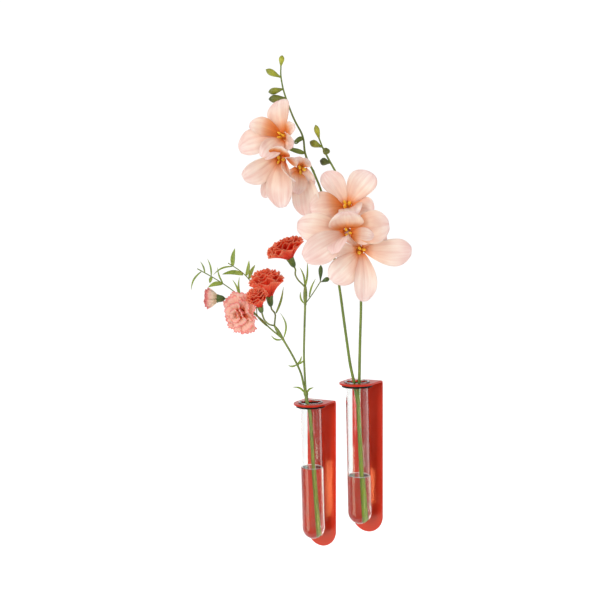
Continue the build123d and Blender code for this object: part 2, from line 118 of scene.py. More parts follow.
class Paint:
    """Material built round one Principled shader."""

    def __init__(self, name, **sockets):
        self.made = bpy.data.materials.new(name)
        self.made.use_nodes = True
        self.tree = self.made.node_tree
        self.shader = self.tree.nodes["Principled BSDF"]
        for socket, value in sockets.items():
            self.shader.inputs[socket.replace("_", " ")].default_value = value

    def node(self, kind, inputs, output=0, **settings):
        """Output of a new node of the material."""
        return add_node(self.tree, kind, inputs, output, **settings)

    def feed(self, socket, output):
        """Drives one of the shader's sockets."""
        self.tree.links.new(output, self.shader.inputs[socket])

    def mark(self, name, scale=1.0):
        """Number painted on the mesh, times a scale."""
        number = self.node("Attribute", {}, "Fac", attribute_name=name)
        return self.node("Math", {0: number, 1: scale}, operation="MULTIPLY")

    def streaks(self, across, along, detail=2.0):
        """Noise drawn out along a petal, leaf or stem, different on each one."""
        marks = (self.mark("across", across), self.mark("along", along), self.mark("tint", STREAK_SHIFT))
        return self.noise(1.0, detail, self.node("CombineXYZ", dict(enumerate(marks))))

    def place(self):
        """Position on the piece, in metres."""
        return self.node("TexCoord", {}, "Object")

    def depth(self):
        """Share of the way down from the top of the foot of a stem."""
        height = self.node("SeparateXYZ", {0: self.place()}, "Z")
        return self.node("MapRange", {"Value": height, "From Min": FOOT_TOP, "From Max": FOOT_BOTTOM})

    def noise(self, scale, detail, vector=None):
        """Noise over a vector, or else over the position on the piece."""
        vector = self.place() if vector is None else vector
        return self.node("TexNoise", {"Scale": scale, "Detail": detail, "Vector": vector})

    def ramp(self, factor, *stops):
        """Colours along a number: each stop is a position and a colour."""
        made = self.node("ValToRGB", {0: factor})
        elements = made.node.color_ramp.elements
        while len(elements) < len(stops):
            elements.new(1.0)
        for element, (position, colour) in zip(elements, stops):
            element.position = position
            element.color = colour
        return made

    def rough(self, factor, low, high):
        """Roughness between two values that follows a factor."""
        self.feed("Roughness", self.node("MapRange", {"Value": factor, "To Min": low, "To Max": high}))

    def blend(self, factor, one, two, mode="MIX"):
        """Two colours mixed, by a constant share or by another output."""
        return self.node("Mix", {0: factor, 6: one, 7: two}, 2, data_type="RGBA", blend_type=mode)

    def bump(self, height, distance, strength):
        """Fine relief, by a distance in metres."""
        inputs = {"Height": height, "Distance": distance, "Strength": strength}
        self.feed("Normal", self.node("Bump", inputs))

    def shine_through(self, colour, share):
        """Mixes in the light that passes through a thin sheet."""
        thin = self.node("BsdfTranslucent", {"Color": colour})
        mixed = self.node("MixShader", {0: share, 1: self.shader.outputs[0], 2: thin})
        self.tree.links.new(mixed, self.tree.nodes["Material Output"].inputs["Surface"])


def metal_paint():
    """Coral powder coat with a fine orange-peel skin."""
    paint = Paint("coral_powder_coat", Specular_IOR_Level=0.24)
    cloud = paint.noise(scale=35.0, detail=3.0)
    paint.feed("Base Color", paint.ramp(cloud, (0.3, rgb(192, 35, 7)), (0.7, rgb(199, 40, 10))))
    paint.rough(cloud, low=0.27, high=0.34)
    paint.bump(paint.noise(scale=1500.0, detail=2.0), distance=0.00004, strength=0.5)
    return paint.made


def rubber():
    """Black rubber with a little dust."""
    paint = Paint("black_rubber", Specular_IOR_Level=0.2)
    dust = paint.noise(scale=260.0, detail=4.0)
    paint.feed("Base Color", paint.ramp(dust, (0.35, rgb(5, 5, 5)), (0.75, rgb(16, 15, 15))))
    paint.rough(dust, low=0.55, high=0.75)
    paint.bump(paint.noise(scale=2500.0, detail=2.0), distance=0.00003, strength=0.6)
    return paint.made


def foam():
    """Pale foam with small cells."""
    paint = Paint("foam_pad", Roughness=0.95)
    cells = paint.noise(scale=2200.0, detail=2.0)
    paint.feed("Base Color", paint.ramp(cells, (0.3, rgb(176, 174, 168)), (0.7, rgb(214, 212, 206))))
    paint.bump(cells, distance=0.0002, strength=0.8)
    return paint.made


def clear_paint(name, tone, bend, gloss):
    """Clear glass or water, with a share of its gloss. The gloss is weak where the two meet."""
    tint = (gloss, gloss, gloss, 1.0)
    return Paint(name, Base_Color=tone, Transmission_Weight=1.0, IOR=bend, Specular_Tint=tint)


def clear_glass(name, gloss):
    """Glass with faint handling marks."""
    paint = clear_paint(name, (0.925, 0.94, 0.935, 1.0), 1.47, gloss)
    paint.rough(paint.noise(scale=60.0, detail=4.0), low=0.0, high=0.012)
    return paint.made


def water_paint(name, gloss):
    """Water with faint ripples."""
    paint = clear_paint(name, (0.985, 0.995, 0.985, 1.0), WATER_IOR, gloss)
    paint.rough(paint.noise(scale=120.0, detail=2.0), low=0.0, high=0.004)
    return paint.made


def painted_rim_highlight():
    """Edge of the water, where it climbs the glass: part clear water, part painted white as a highlight."""
    paint = Paint("water_rim_painted_highlight", Transmission_Weight=0.35, IOR=WATER_IOR)
    ripple = paint.noise(scale=300.0, detail=2.0)
    # Near-white base colour: a painted highlight on otherwise clear water
    paint.feed("Base Color", paint.ramp(ripple, (0.3, rgb(244, 246, 246)), (0.7, WHITE)))
    paint.rough(ripple, low=0.05, high=0.12)
    return paint.made


def plant_skin(name, dark, light, foot):
    """Green skin with fine streaks and paler patches, and another tone low down in the glass."""
    paint = Paint(name, Roughness=0.5)
    streak = paint.streaks(across=3.0, along=9.0)
    patch = paint.noise(scale=60.0, detail=2.0)
    long_tone = paint.ramp(streak, (0.3, dark), (0.72, light))
    patch_tone = paint.ramp(patch, (0.35, dark), (0.7, light))
    skin = paint.blend(0.5, long_tone, patch_tone)
    # Low in the glass the skin is painted a brighter, more yellow green, blended in by height
    lower_skin = paint.blend(0.85, skin, paint.ramp(streak, (0.3, foot), (0.8, light)))
    paint.feed("Base Color", paint.blend(paint.depth(), skin, lower_skin))
    paint.bump(streak, distance=0.0002, strength=0.3)
    return paint.made


def bud_skin(name, young, old):
    """Waxy bud. Both ages are colours for its base, middle and tip, and its tint says how old it is."""
    paint = Paint(name, Roughness=0.45)
    tones = [paint.ramp(paint.mark("along"), *zip((0.0, 0.5, 1.0), age)) for age in (young, old)]
    tone = paint.blend(paint.mark("tint"), *tones)
    streak = paint.streaks(across=7.0, along=3.0)
    shade = paint.ramp(streak, (0.3, (0.72, 0.76, 0.62, 1.0)), (0.7, WHITE))
    paint.feed("Base Color", paint.blend(0.6, tone, shade, "MULTIPLY"))
    paint.bump(streak, distance=0.0003, strength=0.4)
    return paint.made


def anther_skin():
    """Powdery yellow of the stamens."""
    paint = Paint("freesia_stamen", Roughness=0.8, Specular_IOR_Level=0.2)
    dust = paint.noise(scale=900.0, detail=2.0)
    tone = paint.ramp(dust, (0.3, rgb(255, 208, 44)), (0.7, rgb(255, 234, 110)))
    paint.feed("Base Color", tone)
    paint.bump(dust, distance=0.0002, strength=0.6)
    paint.shine_through(tone, share=0.45)
    return paint.made


def petal_skin(name, *stops, shade, share, veins, relief):
    """Thin petal with veins that run along it, and a share of light that passes through it.

    Each stop is a place, from 0 at the base to 1 at the edge, and its red, green and blue.
    """
    paint = Paint(name, Roughness=0.6, Specular_IOR_Level=0.25)
    colours = [(position, rgb(*values)) for position, *values in stops]
    tone = paint.ramp(paint.mark("along"), *colours)
    vein = paint.streaks(across=veins, along=1.2, detail=3.0)
    lines = paint.ramp(vein, (0.34, shade), (0.6, WHITE))
    cloud = paint.ramp(paint.streaks(across=1.3, along=2.2), (0.3, shade), (0.65, WHITE))
    veined = paint.blend(0.4, tone, lines, "MULTIPLY")
    colour = paint.blend(0.5, veined, cloud, "MULTIPLY")
    paint.feed("Base Color", colour)
    paint.bump(vein, distance=relief, strength=0.5)
    paint.shine_through(colour, share)
    return paint.made


coral_paint = metal_paint()
black_rubber = rubber()
pad_foam = foam()
glass = clear_glass("clear_glass", gloss=0.65)
wet_glass = clear_glass("wet_glass", gloss=0.1)
water = water_paint("water", gloss=0.1)
water_top = water_paint("water_top", gloss=1.0)
water_rim_painted_highlight = painted_rim_highlight()
carnation_green = plant_skin("carnation_green", rgb(90, 106, 40), rgb(134, 148, 66), rgb(126, 122, 12))
leaf_green = plant_skin("carnation_leaf", rgb(104, 126, 36), rgb(156, 174, 66), rgb(124, 146, 50))
freesia_green = plant_skin("freesia_green", rgb(86, 104, 24), rgb(120, 136, 46), rgb(126, 136, 4))
bud_green = bud_skin(
    "freesia_bud",
    young=(rgb(128, 138, 30), rgb(182, 180, 50), rgb(132, 136, 44)),
    old=(rgb(74, 84, 16), rgb(84, 92, 18), rgb(48, 54, 12)),
)
calyx_green = bud_skin(
    "carnation_calyx",
    young=(rgb(74, 100, 34), rgb(98, 124, 44), rgb(132, 146, 64)),
    old=(rgb(54, 74, 22), rgb(66, 90, 26), rgb(84, 104, 36)),
)
stamen_yellow = anther_skin()
freesia_petal = petal_skin(
    "freesia_petal", (0.0, 242, 148, 62), (0.08, 248, 188, 132), (0.22, 253, 229, 208),
    (0.55, 255, 244, 234), (1.0, 255, 240, 237),
    shade=rgb(238, 211, 206), share=0.42, veins=5.0, relief=0.0002,
)
freesia_throat = petal_skin(
    "freesia_throat", (0.0, 206, 200, 110), (0.3, 248, 214, 164), (1.0, 248, 172, 86),
    shade=rgb(240, 206, 170), share=0.35, veins=5.0, relief=0.0002,
)
coral_petal = petal_skin(
    "coral_petal", (0.0, 234, 46, 22), (0.45, 255, 88, 52), (0.8, 255, 136, 96),
    (0.95, 255, 162, 124), (1.0, 255, 182, 146),
    shade=rgb(244, 214, 200), share=0.5, veins=6.0, relief=0.0003,
)
pink_petal = petal_skin(
    "pink_petal", (0.0, 255, 164, 118), (0.3, 255, 194, 156), (0.6, 255, 230, 214),
    (0.88, 255, 228, 218), (1.0, 250, 160, 160),
    shade=rgb(252, 234, 226), share=0.55, veins=6.0, relief=0.0003,
)
pink_bud_petal = petal_skin(
    "pink_bud_petal", (0.0, 232, 222, 170), (0.5, 255, 246, 226), (0.78, 255, 220, 206),
    (1.0, 238, 130, 134),
    shade=rgb(244, 222, 210), share=0.35, veins=7.0, relief=0.0003,
)


# Meshes

SHARP_ANGLE = 55.0
CORNER_SHARE = 0.45
LONGEST_STEP = 6.0
STEM_SIDES = 14
STEM_GROOVES = 5
STEM_GROOVE_DEPTH = 0.02
STEM_UNEVEN = 0.05
STEM_LUMPS = 0.12
BUD_TIP = 0.12
LEAF_GAP = 0.1
LEAF_TWIST = 0.4
LEAF_BOW = 0.05
LEAF_FOLD = 0.3
SHEET_THICKNESS = 0.35


def add_object(name, data):
    """Object in the scene round a mesh, light or camera."""
    made = bpy.data.objects.new(name, data)
    bpy.context.collection.objects.link(made)
    return made


class Skin:
    """Points and faces of one piece, with numbers that its material reads."""

    def __init__(self):
        self.points = []
        self.faces = []
        self.marks = {"along": [], "across": [], "tint": []}

    def add(self, rows, closed=False, capped=False, tint=0.5, curve=1.0):
        """Grid of points. Closed joins the ends of each row, and capped closes the first and last row.

        The mark "along" runs from 0 in the first row to 1 in the last, slower at first for a curve above 1.
        """
        first = len(self.points)
        count = len(rows[0])
        for i, row in enumerate(rows):
            for j, point in enumerate(row):
                self.points.append(Vector(point))
                self.marks["along"].append((i / (len(rows) - 1)) ** curve)
                self.marks["across"].append(2 * j / (count - 1) - 1)
                self.marks["tint"].append(tint)
        for i in range(len(rows) - 1):
            for j in range(count if closed else count - 1):
                here = first + i * count
                after = (j + 1) % count
                self.faces.append((here + j, here + after, here + count + after, here + count + j))
        if capped:
            last = first + (len(rows) - 1) * count
            self.faces.append(tuple(reversed(range(first, first + count))))
            self.faces.append(tuple(range(last, last + count)))

    def piece(self, name, place, body, nodes, slot, material, thickness=0.0):
        """Object in the frame that rides on a body and stands for CAD nodes."""
        mesh = bpy.data.meshes.new(name)
        mesh.from_pydata([place @ point for point in self.points], [], self.faces)
        for mark, values in self.marks.items():
            mesh.attributes.new(mark, "FLOAT", "POINT").data.foreach_set("value", values)
        shape = bmesh.new()
        shape.from_mesh(mesh)
        bmesh.ops.recalc_face_normals(shape, faces=shape.faces)
        shape.to_mesh(mesh)
        shape.free()
        mesh.shade_smooth()
        mesh.set_sharp_from_angle(angle=radians(SHARP_ANGLE))
        mesh.materials.append(material)
        made = add_object(name, mesh)
        if thickness:
            sheet = made.modifiers.new("thickness", "SOLIDIFY")
            sheet.thickness = thickness * MM
            sheet.offset = 0.0
        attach(made, body)
        if nodes:
            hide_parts(*nodes)
        return made


def bezier(points, share):
    """Point on a Bezier curve."""
    points = [Vector(point) for point in points]
    while len(points) > 1:
        points = [a.lerp(b, share) for a, b in zip(points, points[1:])]
    return points[0]


def aim(point, direction):
    """Frame at a point whose z axis runs in the direction."""
    turn = Vector(direction).to_track_quat("Z", "Y").to_matrix().to_4x4()
    return Matrix.Translation(Vector(point)) @ turn


def shares(steps):
    """Equal steps from 0 to 1."""
    return [step / steps for step in range(steps + 1)]


def turns(count):
    """Equal angles round a circle."""
    return [2 * pi * step / count for step in range(count)]


def polar(reach, angle, height):
    """Point at an angle round the z axis."""
    return Vector((reach * cos(angle), reach * sin(angle), height))


def route(points):
    """Way through points, with rounded corners and no long steps."""
    points = [Vector(point) for point in points]
    way = [points[0]]
    for before, here, after in zip(points, points[1:], points[2:]):
        cut = CORNER_SHARE * min((here - before).length, (after - here).length)
        start = here + (before - here).normalized() * cut
        end = here + (after - here).normalized() * cut
        way += [bezier((start, here, end), share) for share in shares(steps=6)]
    way.append(points[-1])
    finer = [way[0]]
    for a, b in zip(way, way[1:]):
        parts = max(1, round((b - a).length / LONGEST_STEP))
        finer += [a.lerp(b, share) for share in shares(parts)[1:]]
    return finer


def shoot(skin, points, radius, end_radius=None, tint=0.5):
    """Stem along a way, a little uneven, with shallow grooves."""
    way = route(points)
    end_radius = radius if end_radius is None else end_radius
    side = (way[1] - way[0]).orthogonal().normalized()
    rows = []
    for number, (point, share) in enumerate(zip(way, shares(len(way) - 1))):
        ahead = (way[min(number + 1, len(way) - 1)] - way[max(number - 1, 0)]).normalized()
        side = (side - ahead * side.dot(ahead)).normalized()
        other = ahead.cross(side)
        uneven = 1 + STEM_UNEVEN * noise.noise(point * STEM_LUMPS)
        thick = (radius + (end_radius - radius) * share) * uneven
        row = []
        for angle in turns(STEM_SIDES):
            reach = thick * (1 + STEM_GROOVE_DEPTH * cos(STEM_GROOVES * angle))
            row.append(point + (side * cos(angle) + other * sin(angle)) * reach)
        rows.append(row)
    skin.add(rows, closed=True, capped=True, tint=tint)


def turned(skin, place, outline, sides, ridges=0, ridge=0.0, tint=0.5):
    """Shape turned from (radius, height) pairs, with lengthwise ridges if wanted."""
    rows = []
    for radius, height in outline:
        row = []
        for angle in turns(sides):
            row.append(place @ polar(radius * (1 + ridge * cos(ridges * angle)), angle, height))
        rows.append(row)
    skin.add(rows, closed=True, capped=True, tint=tint)


def swelling(skin, point, direction, radius, stretch=1.5, tint=0.5):
    """Knuckle of a stem, drawn out along it."""
    outline = []
    for share in shares(steps=12)[1:-1]:
        angle = pi * share
        outline.append((radius * sin(angle), -radius * stretch * cos(angle)))
    turned(skin, aim(point, direction), outline, STEM_SIDES, tint=tint)


def bud(skin, point, tip, radius, stalk, tint):
    """Closed bud, widest past its middle, with soft ridges."""
    reach = Vector(tip) - Vector(point)
    length = reach.length
    side = ((stalk, 0), (stalk * 1.6, length * 0.3), (radius * 2.3, length * 0.72), (0, length))
    outline = [bezier(side, share) for share in shares(steps=16)[:-1]]
    outline.append((BUD_TIP, length * 0.998))
    turned(skin, aim(point, reach), outline, sides=20, ridges=3, ridge=0.06, tint=tint)


def leaf(skin, root, tip, width, bend, clear, rng):
    """Narrow leaf, folded along its middle, that bends to one side on its way to the point."""
    root, tip = Vector(root), Vector(tip)
    base = root + (tip - root).normalized() * (clear + LEAF_GAP)
    span = tip - base
    side = span.cross(Vector((0, -1, 0))).normalized()
    out = side.cross(span).normalized()
    twist = rng.uniform(-LEAF_TWIST, LEAF_TWIST)
    rows = []
    for share in shares(steps=16):
        half = 0.62 * width * sin(pi * (0.08 + 0.92 * share) ** 0.8) ** 0.8 + 0.1 * (1 - share)
        bow = sin(pi * share) * span.length
        middle = base + span * share + out * (LEAF_BOW * bow) + side * (bend * bow)
        turn = twist * share
        edge = side * cos(turn) + out * sin(turn)
        lift = out * cos(turn) - side * sin(turn)
        row = []
        for across in (-1.0, -0.5, 0.0, 0.5, 1.0):
            row.append(middle + edge * (half * across) + lift * (LEAF_FOLD * half * abs(across)))
        rows.append(row)
    skin.add(rows, tint=rng.random())


# Petals

ANY_PHASE = 6.28
PETAL_BASE = 2.6

# Waves of a freesia petal, as shares of its width
EDGE_WAVE = 0.035
CREASE_DEPTH = 0.035
CREASE_WIDTH = 0.14
LUMPS = 0.06
CURL_RANGE = (-0.02, 0.14)

# Petal of a freesia: share of the length, half width, rise, and how far the edges cup up and pull back
PETAL_RIBS = (
    (0.0, 0.0, 0.0, 0.0, 0.0),
    (0.20, 0.36, 0.12, 0.06, 0.0),
    (0.55, 0.74, 0.17, 0.14, 0.0),
    (0.98, 0.78, 0.08, 0.10, 0.15),
    (1.05, 0.22, -0.03, 0.02, 0.03),
)


def petal(skin, base, tip, faces, width, glow, roll, rng):
    """Broad petal that rises from a narrow base and ends round, with a crease and soft waves at its edge.

    The glow says how far the orange of the throat runs up the petal: 1 for a little way, more for further.
    The roll turns the petal about its own length, in degrees.
    """
    span = Vector(tip) - base
    side = span.cross(Vector(faces)).normalized()
    side.rotate(Quaternion(span, radians(roll)))
    up = side.cross(span).normalized()
    ribs = []
    for share, half, rise, cup, pull in PETAL_RIBS:
        rib = []
        for across in (-1.0, -0.4, 0.4, 1.0):
            bent = across * across
            reach = (half * width or PETAL_BASE) * across
            lift = rise * span.length + cup * width * bent
            rib.append(base + span * (share - pull * bent) + side * reach + up * lift)
        ribs.append(rib)
    phase = rng.uniform(0, ANY_PHASE)
    seed = rng.uniform(0, 50)
    curls = [rng.uniform(*CURL_RANGE) for _ in range(2)]
    rows = []
    for along in shares(steps=28):
        row = []
        for share in shares(steps=22):
            across = 2 * share - 1
            point = bezier([bezier(rib, share) for rib in ribs], along)
            edge = abs(across) ** 4
            wave = EDGE_WAVE * edge * along**2 * sin(8 * along + 2 * across + phase)
            crease = -CREASE_DEPTH * exp(-((across / CREASE_WIDTH) ** 2)) * sin(pi * along)
            lump = LUMPS * along * noise.noise(Vector((1.3 * across, 2.2 * along, seed)))
            curl = curls[0 if across < 0 else 1] * edge * sin(pi * along**1.3)
            row.append(point + up * ((wave + crease + lump + curl) * width))
        rows.append(row)
    skin.add(rows, tint=rng.random(), curve=glow)


# Carnation petals: number in the ring, reach and level of the edge, how far out and how far up the ring
# bends on its way, depth of the pleats and of the teeth
FAN_RINGS = (
    (6, 1.0, 0.60, 0.50, 0.62, 0.11, 0.06),
    (6, 0.98, 0.72, 0.42, 0.74, 0.11, 0.06),
    (6, 0.86, 0.84, 0.34, 0.86, 0.10, 0.05),
    (5, 0.68, 0.93, 0.26, 0.94, 0.08, 0.04),
    (4, 0.46, 0.99, 0.18, 0.98, 0.06, 0.03),
    (4, 0.24, 1.01, 0.10, 0.98, 0.05, 0.03),
)
FLAT_RINGS = (
    (5, 1.16, 0.26, 0.46, 0.75, 0.17, 0.09),
    (5, 0.98, 0.52, 0.36, 0.95, 0.17, 0.09),
    (4, 0.66, 0.78, 0.32, 1.0, 0.14, 0.08),
    (4, 0.36, 0.92, 0.26, 1.0, 0.08, 0.06),
)
BUD_RINGS = (
    (6, 1.06, 0.82, 0.80, 0.36, 0.06, 0.05),
    (6, 0.9, 0.94, 0.70, 0.42, 0.06, 0.05),
    (5, 0.62, 1.0, 0.54, 0.50, 0.06, 0.05),
    (4, 0.3, 1.0, 0.36, 0.62, 0.05, 0.04),
)
RUFFLE_OVERLAP = 1.25
SLOPE_STEP = 0.02

# Calyx of a carnation
CALYX_TEETH = 5
TOOTH_HEIGHT = 2.4
TOOTH_ROOT = 0.4
TOOTH_FLARE = 0.25
CALYX_RIBS = 0.03


def zigzag(number):
    """From 1 down to 0 and up to 1 again, once for each whole number."""
    return abs(number % 1.0 - 0.5) * 2


def ruffled_petal(skin, place, centre, spread, way, rng, depth, bite):
    """Fan-shaped petal with pleats that grow towards its toothed edge."""
    waves = rng.uniform(1.2, 1.8)
    phase = rng.uniform(0, ANY_PHASE)
    teeth = rng.randint(9, 12)
    rows = []
    for along in shares(steps=14):
        row = []
        for across in [2 * share - 1 for share in shares(steps=36)]:
            tooth = zigzag(across * teeth / 2 + phase)
            share = along * (1 - 0.10 * across**2 * along - bite * tooth * along**6)
            point = bezier(way, share)
            slope = (bezier(way, share + SLOPE_STEP) - bezier(way, share - SLOPE_STEP)).normalized()
            pleat = sin(across * pi * waves + phase)
            crinkle = 0.2 * sin(across * 8.0 * waves + 2 * phase)
            push = depth * share**1.8 * (pleat + crinkle)
            fan = spread * across * (0.7 + 0.3 * share)
            sway = 0.04 * share * cos(across * 9 + phase)
            point += Vector((-slope.y, slope.x)) * push
            row.append(place @ polar(point.x, centre + fan + sway, point.y))
        rows.append(row)
    skin.add(rows, tint=rng.random())


def carnation_head(skin, mouth, direction, radius, height, mouth_radius, rings, rng):
    """Rings of ruffled petals on a calyx."""
    place = aim(mouth, direction)
    root = Vector((mouth_radius * 0.7, -1.0))
    for count, reach, level, bend_out, bend_up, pleat, bite in rings:
        first = rng.uniform(0, ANY_PHASE)
        spread = RUFFLE_OVERLAP * pi / count
        for angle in turns(count):
            centre = first + angle + rng.uniform(-0.12, 0.12)
            out = radius * reach * rng.uniform(0.94, 1.02)
            up = height * level * rng.uniform(0.95, 1.02)
            way = (root, Vector((out * bend_out, up * bend_up)), Vector((out, up)))
            ruffled_petal(skin, place, centre, spread, way, rng, radius * pleat, bite)


def carnation_calyx(skin, mouth, direction, mouth_radius, length, stalk, tint):
    """Green cup with pointed teeth round its mouth."""
    place = aim(Vector(mouth) - Vector(direction).normalized() * length, direction)
    side = (
        (stalk, -0.3),
        (mouth_radius, length * 0.2),
        (mouth_radius * 0.8, length * 0.7),
        (mouth_radius, length),
    )
    rows = []
    for share in shares(steps=13):
        radius, height = bezier(side, share)
        row = []
        for angle in turns(count=40):
            rise = TOOTH_HEIGHT * (zigzag(CALYX_TEETH * angle / (2 * pi)) - TOOTH_ROOT) * share**6
            ribbed = radius * (1 + CALYX_RIBS * cos(2 * CALYX_TEETH * angle))
            row.append(place @ polar(ribbed + TOOTH_FLARE * share**6, angle, height + rise))
        rows.append(row)
    skin.add(rows, closed=True, capped=True, tint=tint)


# Glass and water

ROUND_SIDES = 96
BOWL_STEPS = 24
NEAR_AXIS = -89.5
UPWARD = 0.3


def arc(centre, radius, start, end, steps):
    """Points (radius, height) on an arc in an outline."""
    points = []
    for share in shares(steps):
        angle = radians(start + (end - start) * share)
        points.append((centre[0] + radius * cos(angle), centre[1] + radius * sin(angle)))
    return points


def glass_tube():
    """Round-bottomed tube with a rolled lip, outside first."""
    bowl = (0, BOWL_CENTRE)
    lip_centre = (TUBE_RADIUS + LIP_OVERHANG - LIP_HEIGHT / 2, LIP_SEAT_GAP + LIP_HEIGHT / 2)
    inner_centre = (BORE_RADIUS + LIP_INNER_ROUND, LIP_SEAT_GAP + LIP_HEIGHT - LIP_INNER_ROUND)
    wall = [BOWL_CENTRE * share for share in shares(steps=12)[1:-1]]
    outline = arc(bowl, TUBE_RADIUS, NEAR_AXIS, 0, BOWL_STEPS)
    outline += [(TUBE_RADIUS, height) for height in reversed(wall)]
    outline += [(TUBE_RADIUS, LIP_SEAT_GAP)]
    outline += arc(lip_centre, LIP_HEIGHT / 2, -90, 90, 10)
    outline += arc(inner_centre, LIP_INNER_ROUND, 90, 180, 6)
    outline += [(BORE_RADIUS, height) for height in wall]
    outline += arc(bowl, BORE_RADIUS, 0, NEAR_AXIS, BOWL_STEPS)
    skin = Skin()
    turned(skin, Matrix(), outline, ROUND_SIDES)
    return skin


def water_body(seat, level):
    """Water up to a level surface that climbs a little at the glass, in the frame of the tilted tube."""
    radius = BORE_RADIUS + WATER_SKIN
    tilt = radians(SHELF_DROOP)
    rows = []

    def row(reach, height_at):
        points = [polar(reach, angle, 0.0) for angle in turns(ROUND_SIDES)]
        rows.append([(x, y, height_at(y)) for x, y, _ in points])

    def surface(y):
        return (level - seat.z - y * sin(tilt)) / cos(tilt)

    for reach, height in arc((0, BOWL_CENTRE), radius, NEAR_AXIS, 0, BOWL_STEPS):
        row(reach, lambda y, height=height: height)
    for share in shares(steps=9)[1:-1]:
        row(radius, lambda y, share=share: BOWL_CENTRE + (surface(y) + MENISCUS_RISE - BOWL_CENTRE) * share)
    for share in shares(steps=8):
        rise = MENISCUS_RISE * (1 - share) ** 2.2
        row(radius - MENISCUS_WIDTH * share, lambda y, rise=rise: surface(y) + rise)
    for share in (0.66, 0.33, 0.02):
        row((radius - MENISCUS_WIDTH) * share, surface)
    skin = Skin()
    skin.add(rows, closed=True, capped=True)
    return skin


def off_axis(place, point):
    """Distance of a point from the axis of a tube, in metres."""
    axis = place.col[2].to_3d().normalized()
    out = point - place.translation
    return (out - axis * out.dot(axis)).length


def fill_tube(side, place, seat, level):
    """Tube with its water. The glass is less glossy where it is wet, and the water's rim is painted white
    as a highlight.
    """
    body = f"{side}_tube"
    nodes = [f"{side}_glass_tube"]
    tube = glass_tube().piece(f"{side}_clear_tube", place, body, nodes, "clear_glass", glass)
    tube.data.materials.append(wet_glass)
    filled = water_body(seat, level).piece(f"{side}_water", place, body, [], "clear_glass", water)
    filled.data.materials.append(water_top)
    filled.data.materials.append(water_rim_painted_highlight)
    for face in tube.data.polygons:
        if off_axis(place, face.center) < (BORE_RADIUS + WATER_SKIN) * MM and face.center.z < level * MM:
            face.material_index = 1
    for face in filled.data.polygons:
        if face.normal.z > UPWARD:
            # Upward faces near the glass get the water rim painted white as a highlight, the rest the clear
            # top
            at_glass = off_axis(place, face.center) > (BORE_RADIUS - PAINTED_HIGHLIGHT_WIDTH) * MM
            face.material_index = 2 if at_glass else 1
    return [tube, filled]


clear_pieces = fill_tube("left", LEFT_TUBE, LEFT_SEAT, LEFT_WATER)
clear_pieces += fill_tube("right", RIGHT_TUBE, RIGHT_SEAT, RIGHT_WATER)


# Brackets, rings and pads

for node, material in (("bracket", coral_paint), ("rubber_ring", black_rubber), ("adhesive_pad", pad_foam)):
    for side in ("left", "right"):
        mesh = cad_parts[f"{side}_{node}"].data
        mesh.materials.clear()
        mesh.materials.append(material)


# Carnation spray, in the frame of the left tube

STEM_RADIUS = 2.0
BRANCH_RADIUS = 1.2
STALK_RADIUS = 0.9
TWIG_RADIUS = 0.6
STALK_LEAD = 3.5
STALK_OVERLAP = 0.3
KNUCKLE_SWELL = 1.35
SHEATH_REACH = 0.52
fork = (-5.0, -5.5, 11.0)
high_node = (-3.4, 1.5, 110.0)
high_tip = (-2.8, 2.0, 128.0)
side_node = (-13.6, -4.0, 43.0)
low_node = (-29.0, -4.0, 72.0)
elbow = (-38.0, -3.0, 87.0)
twig_node = (-57.0, -3.0, 98.5)
green_bud_node = (14.0, 5.0, 134.0)
carnation_foot = (4.2, 1.0, -149.41)
carnation_bend = (-0.8, -7.6, -9.0)
carnation_lip = (-3.78, -8.11, 0.0)

# Heads: mouth of the calyx, direction, petal radius and height, calyx radius and length, rings, material
carnation_heads = {
    "coral_carnation": (
        (-43, 1, 119), (-0.14, -0.1, 0.98), 20.5, 30.0, 4.2, 11.0, FAN_RINGS, coral_petal,
    ),
    "small_coral_carnation": (
        (-52, -27, 110), (-0.2, -0.45, 0.87), 12.5, 21.0, 3.4, 8.0, FAN_RINGS, coral_petal,
    ),
    "high_carnation": (
        (-19, 4, 161), (-0.42, -0.15, 0.90), 23.0, 22.0, 4.2, 11.0, FAN_RINGS, coral_petal,
    ),
    "pink_carnation": (
        (-72, -12.8, 103), (-0.617, -0.772, -0.22), 23.0, 15.0, 4.2, 11.0, FLAT_RINGS, pink_petal,
    ),
    "pink_bud": (
        (-101, 0, 118.5), (-1.0, 0.0, 0.05), 11.5, 14.0, 4.6, 8.5, BUD_RINGS, pink_bud_petal,
    ),
}

# Way of each stalk, up to its head
carnation_stalks = {
    "coral_carnation": (elbow, (-36.5, 0.5, 100)),
    "small_coral_carnation": (elbow, (-44, -11, 89), (-48.5, -18, 95)),
    "high_carnation": (high_tip, (-5.5, 2.4, 131.5), (-11, 3.5, 137), (-14, 5.5, 143)),
    "pink_carnation": (twig_node,),
    "pink_bud": (twig_node, (-74, 4, 109), (-84, 4.5, 115.5)),
}

# Stem and branches: radius and points
carnation_shoots = (
    (STEM_RADIUS, carnation_foot, carnation_bend, carnation_lip, fork),
    (BRANCH_RADIUS, fork, (-7.4, -5.2, 21), (-9.4, -4.7, 32.5), side_node, (-20, -3.9, 56), low_node),
    (BRANCH_RADIUS, fork, (-5.8, -4.2, 32), (-6.3, -2.2, 54), (-5, 0, 80), high_node, high_tip),
    (STALK_RADIUS, low_node, elbow),
    (STALK_RADIUS, low_node, (-45, -3.5, 86), twig_node),
    (
        TWIG_RADIUS, twig_node, (-68, 4, 112), (-77, 4.5, 121.5), (-93, 4, 134), (-107, 4, 143),
        (-122.5, 4, 152),
    ),
    (
        TWIG_RADIUS, twig_node, (-58, 7, 111), (-60, 14, 127), (-65, 14, 138), (-72.5, 14, 146),
        (-80.5, 14, 152), (-89, 14, 157.5),
    ),
    (TWIG_RADIUS, high_node, (5.6, 3.3, 121.5), green_bud_node),
)

